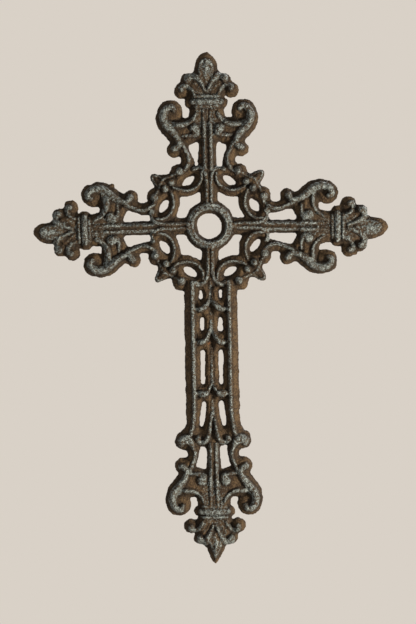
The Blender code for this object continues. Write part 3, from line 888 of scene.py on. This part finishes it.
@dataclass(frozen=True)
class SandCastIron:
    """Grey iron cast in green sand, left to rust brown, then rubbed bare where hands and rags reach, with
    shade painted into its hollows and creases.

    Attributes:
        rust: Brown of the flanks.
        dark_rust: Older, darker rust between.
        soot_and_shade: Near black of the creases and hollows. It is painted shade in both, and in the creases
            partly black patina too.
        worn: Blue grey of the rubbed ridges.
        bright: Paler grey of the topmost grains.
        fresh_rust: Orange of the few fresh specks.
        grain: Width of a sand grain's print, in millimetres.
        patch: Width of the blotches in the rust, in millimetres.
        speck: Distance between specks of fresh rust, in millimetres.
        print_depth: Depth of a sand grain's print, in millimetres.
        metal: How metallic the bare iron is, under its thin film of oil.
        rust_range: Sum of the noises from which dark rust turns into rust, and up to which.
        shade_and_grime_range: The same for the near black in the hollows, which is painted shade broken by
            random scuffs of grime.
        bare_range: The same for bare iron.
        bright_range: The same for bright iron.
        speck_range: The same for fresh rust.
        roughnesses: Roughness of the rust and of the bare iron.
        gloss: Specular level of both.
    """

    rust: str = "#604D34"
    dark_rust: str = "#3A2C1D"
    soot_and_shade: str = "#0E0B08"
    worn: str = "#6A7270"
    bright: str = "#9AA29F"
    fresh_rust: str = "#A8602C"
    grain: float = 1.4
    patch: float = 7.0
    speck: float = 24.0
    print_depth: float = 0.8
    metal: float = 0.35
    rust_range: Point = (1.0, 1.45)
    shade_and_grime_range: Point = (0.4, 1.1)
    bare_range: Point = (2.0, 2.42)
    bright_range: Point = (2.36, 2.62)
    speck_range: Point = (0.14, 0.18)
    roughnesses: Point = (0.8, 0.58)
    gloss: float = 0.35

    def make(self) -> bpy.types.Material:
        """Build the material.

        Returns:
            The material, which reads the casting's own attributes.
        """
        material = bpy.data.materials.new("sand-cast iron, oiled and rusted")
        material.use_nodes = True
        tree = material.node_tree
        shader = tree.nodes["Principled BSDF"]
        bench = ShaderBench(tree)
        grain = bench.noise(self.grain, 2.0, 0.65)
        grit = bench.noise(self.grain * 0.5, 1.0)
        patches = bench.noise(self.patch, 3.0)
        scuffs = bench.noise(self.patch * 0.4, 2.0)

        # Rust is matt and blotched. Shade is painted into the hollows and along the ridges' feet.
        tone = bench.weigh((patches, 0.8), (grain, 1.0), (grit, 0.6))
        rust = bench.mix(bench.span(tone, self.rust_range), self.dark_rust, self.rust)
        # Painted shade: the rust goes darker the deeper a spot lies below its neighbours, broken by random
        # scuffs of grime.
        shade_and_grime = bench.weigh((bench.read("hollow"), 1.0), (scuffs, 0.5))
        rust = bench.mix(bench.span(shade_and_grime, self.shade_and_grime_range, to=(0.0, 0.5)), rust, self.soot_and_shade)
        # Painted shade along the crease at each ridge's foot, which is partly black patina too.
        rust = bench.mix(bench.span(bench.read("crease"), to=(0.0, 0.75)), rust, self.soot_and_shade)

        # Bare iron shows on the ridges, but only on the tops of the sand grains.
        rubbed = bench.weigh((bench.read("crest"), 0.8), (grain, 1.5), (grit, 0.8), (scuffs, 0.7))
        bare = bench.span(rubbed, self.bare_range)
        colour = bench.mix(bare, rust, self.worn)
        colour = bench.mix(bench.span(rubbed, self.bright_range), colour, self.bright)

        # A few specks of fresh rust
        cells = bench.pattern("ShaderNodeTexVoronoi", self.speck, "Distance")
        speck = bench.weigh((cells, -1.0), (patches, 0.4))
        colour = bench.mix(bench.span(speck, self.speck_range, to=(0.0, 0.4)), colour, self.fresh_rust)

        tree.links.new(colour, shader.inputs["Base Color"])
        tree.links.new(bench.span(bare, to=(0.0, self.metal)), shader.inputs["Metallic"])
        tree.links.new(bench.span(bare, to=self.roughnesses), shader.inputs["Roughness"])
        shader.inputs["Specular IOR Level"].default_value = self.gloss
        prints = bench.weigh((grain, 1.0), (grit, 0.6))
        bump = {"Strength": 1.0, "Distance": self.print_depth * MILLIMETRE, "Height": prints}
        tree.links.new(add_node(tree, "ShaderNodeBump", bump).outputs[0], shader.inputs["Normal"])
        return material


@dataclass
class CrossCasting:
    """The cross in one piece: relief in front, upright rim, flat back with a pocket for the nail.

    Attributes:
        relief: The relief that the front follows.
        hang_height: Hub centre to the spot behind the top arm's neck that is the frame's origin.
        hang_lean: Degrees anticlockwise that the top arm leans.
        mesh_step: Distance between the points of the sheet.
        snaps: How many times the trimmed edge is drawn to the outline.
        weld: Distance under which points along the trimmed edge become one.
        arris: Size of the rounded edge round the back.
        pocket_reach: Hub centre to the middle of the nail pocket.
        pocket_size: Its width, height and depth.
        pocket_corner: Rounding of its corners.
        pocket_walls: Share of its depth, and how far it narrows, of each stretch of its walls.
        sand: Name, width and depth of each size of sand grain.
        rim: Height of the smooth rim at the back, and the height over which the grain comes up above it.
        full_crest: Height above the plate from which a ridge is fully worn.
        plate_rub: Wear of the plate where it is rubbed.
        wear_blur: Softening of the wear.
        crease_mark: How strongly a crease is noted, which sets how dark it is painted, partly as shade and
            partly as black patina.
        hollow: Width and depth of a place that counts as hollow, which the finish darkens as painted shade.
        finish: The casting's surface.
    """

    relief: ReliefSheet
    hang_height: float = 66.0
    hang_lean: float = 0.5
    mesh_step: float = 0.5
    snaps: int = 4
    weld: float = 0.14
    arris: float = 0.35
    pocket_reach: float = 76.0
    pocket_size: tuple[float, float, float] = (9.0, 8.0, 4.6)
    pocket_corner: float = 1.4
    pocket_walls: tuple[Point, ...] = ((0.85, 0.94), (0.15, 0.8))
    sand: tuple[tuple[str, float, float], ...] = (("coarse sand", 1.7, 0.75), ("fine sand", 0.9, 0.45))
    rim: Point = (0.6, 1.5)
    full_crest: float = 1.3
    plate_rub: float = 0.6
    wear_blur: float = 0.2
    crease_mark: float = 0.75
    hollow: Point = (1.6, 0.8)
    finish: SandCastIron = SandCastIron()

    @property
    def up(self) -> np.ndarray:
        """Direction of the top arm in the plane of the wall."""
        turn = math.radians(90 + self.hang_lean)
        return np.array([math.cos(turn), math.sin(turn)])

    def build(self) -> bpy.types.Object:
        """Make and dress the casting.

        Returns:
            The finished piece.
        """
        piece = self.lay_sheet()
        self.trim(piece)
        self.emboss(piece)
        self.close_back(piece)
        self.roughen(piece)
        self.mark_wear(piece)
        piece.data.materials.append(self.finish.make())
        return piece

    def spots(self, piece: bpy.types.Object) -> tuple[np.ndarray, np.ndarray]:
        """Read the piece's points, in metres, and their places in the drawing's plane, in millimetres."""
        places = read_values(piece.data.vertices, "co", 3)
        return places, places[:, (0, 2)] / MILLIMETRE + self.hang_height * self.up

    def put(self, piece: bpy.types.Object, places: np.ndarray) -> None:
        """Write the piece's points back, in metres."""
        piece.data.vertices.foreach_set("co", places.ravel())
        piece.data.update()

    @staticmethod
    def select_rim() -> None:
        """Select the points of the open edges, in edit mode."""
        bpy.ops.mesh.select_mode(type="VERT")
        bpy.ops.mesh.select_all(action="DESELECT")
        bpy.ops.mesh.select_non_manifold(extend=False)

    def lay_sheet(self) -> bpy.types.Object:
        """Lay a fine square grid over the whole drawing.

        Returns:
            The sheet, upright in the plane of the wall.
        """
        size = np.array([self.relief.columns - 1, self.relief.rows - 1]) * self.relief.spacing
        steps = np.ceil(size / self.mesh_step).astype(int)
        bpy.ops.object.select_all(action="DESELECT")
        columns, rows = steps.tolist()
        bpy.ops.mesh.primitive_grid_add(
            x_subdivisions=columns, y_subdivisions=rows, size=1, rotation=(math.radians(90), 0, 0)
        )
        piece = bpy.context.active_object
        piece.name = "wall_cross_casting"
        bpy.ops.object.transform_apply(location=True, rotation=True, scale=True)
        places, _ = self.spots(piece)
        middle = self.relief.low + size / 2 - self.hang_height * self.up
        places[:, 0] = (places[:, 0] * size[0] + middle[0]) * MILLIMETRE
        places[:, 2] = (places[:, 2] * size[1] + middle[1]) * MILLIMETRE
        self.put(piece, places)
        return piece

    def trim(self, piece: bpy.types.Object) -> None:
        """Cut away the sheet outside the drawing, and draw its ragged edge onto the outline.

        Args:
            piece: The sheet.
        """
        mesh = piece.data
        _, spots = self.spots(piece)
        corners = read_values(mesh.loops, "vertex_index", kind=int).reshape(-1, 4)
        middles = spots[corners].mean(axis=1)
        outside = self.relief.sample(self.relief.edge, middles) > 0
        with editing():
            bpy.ops.mesh.select_mode(type="FACE")
            bpy.ops.mesh.select_all(action="DESELECT")
        mesh.polygons.foreach_set("select", outside)
        with editing():
            bpy.ops.mesh.delete(type="FACE")
            self.select_rim()

        places, spots = self.spots(piece)
        on_edge = read_values(mesh.vertices, "select", kind=bool)
        edge = spots[on_edge]
        # The floor under the slope keeps a point in a notch from being thrown far off.
        for _ in range(self.snaps):
            slope = self.relief.slope(edge)
            steep = np.maximum((slope**2).sum(axis=1), 0.05)
            edge -= slope * (self.relief.sample(self.relief.edge, edge) / steep)[:, None]
        places[np.ix_(on_edge, (0, 2))] = (edge - self.hang_height * self.up) * MILLIMETRE
        self.put(piece, places)

        with editing():
            bpy.ops.mesh.remove_doubles(threshold=self.weld * MILLIMETRE)
            self.select_rim()
        on_edge = read_values(mesh.vertices, "select", kind=bool)
        with editing():
            bpy.ops.mesh.select_more()
            bpy.ops.mesh.select_more()
        near = read_values(mesh.vertices, "select", kind=bool)
        mesh.vertices.foreach_set("select", near & ~on_edge)
        with editing():
            bpy.ops.mesh.vertices_smooth(factor=0.5, repeat=4)

    def emboss(self, piece: bpy.types.Object) -> None:
        """Press the sheet out to the relief.

        Args:
            piece: The sheet.
        """
        places, spots = self.spots(piece)
        places[:, 1] = -self.relief.sample(self.relief.height, spots) * MILLIMETRE
        self.put(piece, places)

    def close_back(self, piece: bpy.types.Object) -> None:
        """Give the sheet its rim, and close the back round the nail pocket.

        Args:
            piece: The embossed sheet.
        """
        pocket = self.make_pocket()
        bpy.ops.object.select_all(action="DESELECT")
        piece.select_set(True)
        bpy.context.view_layer.objects.active = piece
        with editing():
            self.select_rim()
            bpy.ops.mesh.select_mode(type="EDGE")
        for depth, inset in ((self.arris, 0.0), (0.0, self.arris)):
            with editing():
                bpy.ops.mesh.extrude_edges_move()
            self.set_back(piece, depth, inset)
        pocket.select_set(True)
        bpy.ops.object.join()
        with editing():
            self.select_rim()
            bpy.ops.mesh.select_mode(type="EDGE")
            bpy.ops.mesh.fill(use_beauty=True)
            bpy.ops.mesh.select_all(action="SELECT")
            bpy.ops.mesh.normals_make_consistent(inside=False)

    def set_back(self, piece: bpy.types.Object, depth: float, inset: float) -> None:
        """Put the selected points at one depth, and draw them in from the edge.

        Args:
            piece: The casting, with the new edges selected.
            depth: Distance in front of the wall.
            inset: How far in from the outline.
        """
        places, spots = self.spots(piece)
        chosen = read_values(piece.data.vertices, "select", kind=bool)
        slope = self.relief.slope(spots[chosen])
        slope /= np.maximum(np.hypot(*slope.T), 0.2)[:, None]
        places[np.ix_(chosen, (0, 2))] -= inset * MILLIMETRE * slope
        places[chosen, 1] = -depth * MILLIMETRE
        self.put(piece, places)

    def make_pocket(self) -> bpy.types.Object:
        """Make the lining of the nail pocket, open towards the wall, with rounded corners and a little draft.

        Returns:
            The lining.
        """
        middle = (self.pocket_reach - self.hang_height) * self.up * MILLIMETRE
        width, height, depth = (size * MILLIMETRE for size in self.pocket_size)
        lean = -math.radians(self.hang_lean)
        bpy.ops.object.select_all(action="DESELECT")
        bpy.ops.mesh.primitive_plane_add(
            size=1, location=(middle[0], 0, middle[1]), rotation=(math.radians(90), lean, 0)
        )
        pocket = bpy.context.active_object
        pocket.scale = (width, height, 1)
        bpy.ops.object.transform_apply(location=True, rotation=True, scale=True)
        with editing():
            bpy.ops.mesh.select_all(action="SELECT")
            bpy.ops.mesh.bevel(offset=self.pocket_corner * MILLIMETRE, segments=5, affect="VERTICES")
            bpy.ops.mesh.select_mode(type="FACE")
            bpy.ops.mesh.select_all(action="SELECT")
            for share, draft in self.pocket_walls:
                bpy.ops.mesh.extrude_region_move(TRANSFORM_OT_translate={"value": (0, -depth * share, 0)})
                bpy.ops.transform.resize(value=(draft, 1, draft), center_override=(middle[0], 0, middle[1]))
        return pocket

    def roughen(self, piece: bpy.types.Object) -> None:
        """Print the sand's grain on the front and rim, and shade the casting smooth but for its flat back.

        Args:
            piece: The closed casting.
        """
        places, _ = self.spots(piece)
        rim, fade = self.rim
        front = np.round(np.clip((-places[:, 1] / MILLIMETRE - rim) / fade, 0, 1), 1)
        for name, size, depth in self.sand:
            texture = bpy.data.textures.new(name, "CLOUDS")
            texture.noise_scale = size * MILLIMETRE
            texture.noise_depth = 1
            grain = piece.modifiers.new(name, "DISPLACE")
            grain.texture = texture
            grain.texture_coords = "LOCAL"
            grain.strength = depth * MILLIMETRE
            grain.mid_level = 0.5
            bpy.ops.object.modifier_apply(modifier=grain.name)
            rough, _ = self.spots(piece)
            places += front[:, None] * (rough - places)
            self.put(piece, places)
        bpy.ops.object.shade_smooth()
        # The flat back is made of the faces that lie on the wall's plane and look at it.
        faces = piece.data.polygons
        behind = read_values(faces, "center", 3)[:, 1] > -0.01 * MILLIMETRE
        flat = behind & (read_values(faces, "normal", 3)[:, 1] > 0.99)
        faces.foreach_set("use_smooth", ~flat)

    def mark_wear(self, piece: bpy.types.Object) -> None:
        """Note on each point how far it is rubbed, creased or hollow, for the finish to read: rubbed spots
        show bare iron, while creases and hollows are painted dark as shade.

        Args:
            piece: The casting.
        """
        places, spots = self.spots(piece)
        relief = self.relief
        # Nothing is noted on the back and on the first millimetre of the rim.
        front = np.clip(-places[:, 1] / MILLIMETRE - 1.0, 0, 1)
        width, depth = self.hollow
        # How far each spot lies below its surroundings, which the finish paints dark as shade.
        sunk = relief.blur(relief.height, width) - relief.height
        rubbed = self.plate_rub * np.clip(relief.rub * np.clip(-relief.edge / relief.flank, 0, 1) ** 2, 0, 1)
        worn = relief.blur(np.clip(relief.hump / self.full_crest, rubbed, 1), self.wear_blur)
        marks = {
            "crest": front * relief.sample(worn, spots),
            "crease": front * relief.sample(relief.crease(), spots) * self.crease_mark,
            "hollow": front * np.clip(relief.sample(sunk, spots) / depth, 0, 1),
        }
        for name, values in marks.items():
            attribute = piece.data.attributes.new(name, "FLOAT", "POINT")
            attribute.data.foreach_set("value", values)


@dataclass(frozen=True)
class Lamp:
    """A round soft light that shines at the middle of the cross.

    Attributes:
        name: Its name.
        offset: Where it hangs, in metres from the middle of the cross.
        size: Its diameter in metres.
        power: Its power in watts.
        colour: Its colour.
    """

    name: str
    offset: tuple[float, float, float]
    size: float
    power: float
    colour: str


@dataclass
class Studio:
    """Pale floor, soft lights, and a camera with a long lens square to the cross.

    Attributes:
        hub: The hub's centre in the frame, in millimetres.
        lens: Focal length.
        sensor: Width of the sensor along the photograph's long side.
        floor_drop: How far the floor lies under the origin.
        floor_radius: Radius of the floor.
        middle_drop: How far the middle of the cross lies under the origin.
        paint: Colour of the floor.
        paint_roughness: Roughness of its paint.
        room: Colour of the room as the camera sees it.
        glow: Colour of the light from the room.
        glow_strength: Strength of that light, low enough that the lamps shape the relief.
        lamps: The key light low on the right, a weak one on the left, and one behind.
    """

    hub: np.ndarray
    lens: float = 180.0
    sensor: float = 36.0
    floor_drop: float = 460.0
    floor_radius: float = 800.0
    middle_drop: float = 118.0
    paint: str = "#D9D4CC"
    paint_roughness: float = 0.9
    room: str = "#D9D1C7"
    glow: str = "#FFF6EC"
    glow_strength: float = 0.32
    lamps: tuple[Lamp, ...] = (
        Lamp("key_light", (0.9, -0.72, -0.3), 0.23, 21.5, "#FFF4E6"),
        Lamp("fill_light", (-0.5, -1.3, 0.6), 0.8, 2.0, "#EAF2FF"),
        Lamp("back_light", (0.6, 1.1, 0.6), 0.9, 12.0, "#FFFFFF"),
    )

    def build(self) -> None:
        """Set the studio up."""
        self.lay_floor()
        self.light_world()
        self.hang_lights()
        self.set_camera()

    def lay_floor(self) -> None:
        """Lay the floor."""
        bpy.ops.object.select_all(action="DESELECT")
        bpy.ops.mesh.primitive_circle_add(
            vertices=96,
            radius=self.floor_radius * MILLIMETRE,
            fill_type="NGON",
            location=(0, 0, -self.floor_drop * MILLIMETRE),
        )
        floor = bpy.context.active_object
        floor.name = "studio_floor"
        bpy.ops.object.transform_apply(location=True, rotation=True, scale=True)
        # Matt paint gives back soft light, and no highlight that would draw the eye from the iron.
        paint = bpy.data.materials.new("matt studio paint")
        paint.use_nodes = True
        shader = paint.node_tree.nodes["Principled BSDF"]
        shader.inputs["Base Color"].default_value = linear_colour(self.paint)
        shader.inputs["Roughness"].default_value = self.paint_roughness
        floor.data.materials.append(paint)

    def light_world(self) -> None:
        """Make the room pale to look at, but dim enough that the lights shape the relief."""
        world = bpy.data.worlds.new("studio room")
        world.use_nodes = True
        bpy.context.scene.world = world
        tree = world.node_tree
        tree.nodes.clear()
        parts = {0: add_node(tree, "ShaderNodeLightPath").outputs["Is Camera Ray"]}
        for slot, colour, strength in ((1, self.glow, self.glow_strength), (2, self.room, 1.0)):
            settings = {"Color": linear_colour(colour), "Strength": strength}
            parts[slot] = add_node(tree, "ShaderNodeBackground", settings).outputs[0]
        both = add_node(tree, "ShaderNodeMixShader", parts)
        add_node(tree, "ShaderNodeOutputWorld", {"Surface": both.outputs[0]})

    def hang_lights(self) -> None:
        """Hang the lamps, each turned to the middle of the cross."""
        middle = np.array([0.0, 0.0, -self.middle_drop * MILLIMETRE])
        for lamp in self.lamps:
            place = middle + np.array(lamp.offset)
            bpy.ops.object.light_add(type="AREA", location=place.tolist())
            light = bpy.context.active_object
            light.name = lamp.name
            light.data.shape = "DISK"
            light.data.size = lamp.size
            light.data.energy = lamp.power
            light.data.color = linear_colour(lamp.colour)[:3]
            light.rotation_euler = Vector((middle - place).tolist()).to_track_quat("-Z", "Y").to_euler()

    def set_camera(self) -> None:
        """Stand the camera square to the cross, where the photograph's frame is filled."""
        frame_height = PHOTO_HEIGHT * PIXEL_SIZE
        distance = self.lens / self.sensor * frame_height
        roll = math.radians(PHOTO_ROLL)
        right = (PHOTO_WIDTH / 2 - HUB_COLUMN) * PIXEL_SIZE
        down = (PHOTO_HEIGHT / 2 - HUB_ROW) * PIXEL_SIZE
        x = self.hub[0] + right * math.cos(roll) - down * math.sin(roll)
        z = self.hub[1] - down * math.cos(roll) - right * math.sin(roll)
        place = (x * MILLIMETRE, -distance * MILLIMETRE, z * MILLIMETRE)
        bpy.ops.object.camera_add(location=place, rotation=(math.radians(90), roll, 0))
        camera = bpy.context.active_object
        camera.name = "photograph_camera"
        camera.data.lens = self.lens
        camera.data.sensor_width = self.sensor
        bpy.context.scene.camera = camera


def main() -> None:
    """Build the cross and its studio, and report each piece."""
    logging.basicConfig(level=logging.INFO, format="%(message)s")
    scene = bpy.context.scene
    scene.view_settings.view_transform = "Standard"
    casting = CrossCasting(ReliefSheet(Ornament()))
    piece = casting.build()
    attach(piece, "root")
    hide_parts(CASTING_NODE)
    log.info("%s: %d faces", piece.name, len(piece.data.polygons))
    Studio(-casting.hang_height * casting.up).build()
    log.info("studio: floor, room, lights and camera")


if __name__ == "__main__":
    main()
